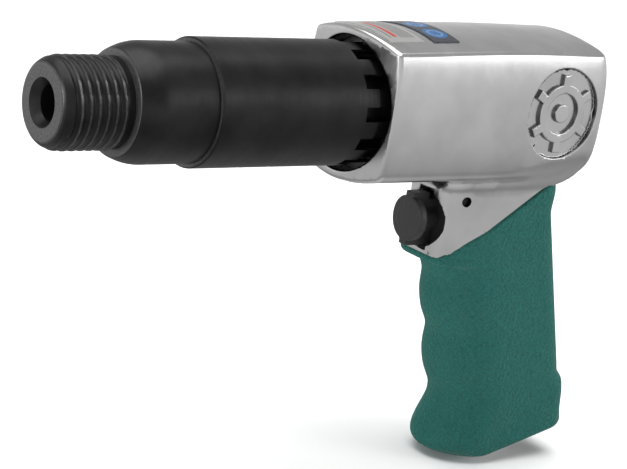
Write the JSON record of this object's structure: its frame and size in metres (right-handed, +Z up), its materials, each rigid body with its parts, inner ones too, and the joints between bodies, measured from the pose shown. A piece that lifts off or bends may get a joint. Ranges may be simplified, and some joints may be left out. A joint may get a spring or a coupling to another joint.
{
  "type": "pneumatic rivet gun",
  "caption": "Pistol-grip air hammer for driving rivets: threaded nose, black barrel with a notched exhaust sleeve, cast aluminium head, button trigger and a green rubber grip.",
  "frame": {"origin": "on the bore axis at the front end of the shank bore's straight wall, 2.6 mm inside the muzzle face", "axes": "+X out of the muzzle, +Z up, +Y to the gun's left side"},
  "size_m": [0.2117, 0.046, 0.144],
  "materials": {
    "cast_aluminium": "brushed and polished",
    "green_rubber": "grained",
    "black_steel": "satin black oxide",
    "steel": "ground",
    "brass": "turned",
    "black_rubber": "smooth",
    "black_plastic": "matte",
    "label_white": "printed film",
    "label_dark": "printed film"
  },
  "bodies": {
    "housing": {"housing": "cast_aluminium", "grip_sleeve": "green_rubber", "barrel": "black_steel", "exhaust_sleeve": "black_steel", "seat_ring": "black_steel", "sleeve_oring": "black_rubber", "valve_seat": "steel", "valve_cap": "steel", "valve_dowels": "steel", "end_cushion": "black_rubber", "trigger_pin": "black_steel", "throttle_bushing": "brass", "bushing_orings": "black_rubber", "stem_oring": "black_rubber", "throttle_spring": "steel", "inlet_bushing": "steel", "inlet_oring": "black_rubber", "inlet_screen": "steel", "rating_label": "label_white", "symbol_label": "label_dark"},
    "trigger": {"trigger": "black_plastic"},
    "throttle": {"throttle_valve": "steel", "throttle_seal": "black_rubber"},
    "piston": {"piston": "steel"},
    "valve_disc": {"valve_disc": "steel"}
  },
  "joints": [
    {"name": "trigger_slide", "type": "slide", "parent": "housing", "child": "trigger", "axis": [-1, 0, 0], "range_m": [0, 0.005], "stiffness_N_per_m": 400, "springref_m": -0.02},
    {"name": "throttle_slide", "type": "slide", "parent": "housing", "child": "throttle", "axis": [-1, 0, 0], "range_m": [0, 0.005], "deforming": ["throttle_spring"]},
    {"name": "piston_slide", "type": "slide", "parent": "housing", "child": "piston", "axis": [1, 0, 0], "range_m": [0, 0.075]},
    {"name": "valve_slide", "type": "slide", "parent": "housing", "child": "valve_disc", "axis": [1, 0, 0], "range_m": [0, 0.001]}
  ],
  "couplings": [
    {"joint": "throttle_slide", "follows": "trigger_slide", "ratio": 1}
  ]
}
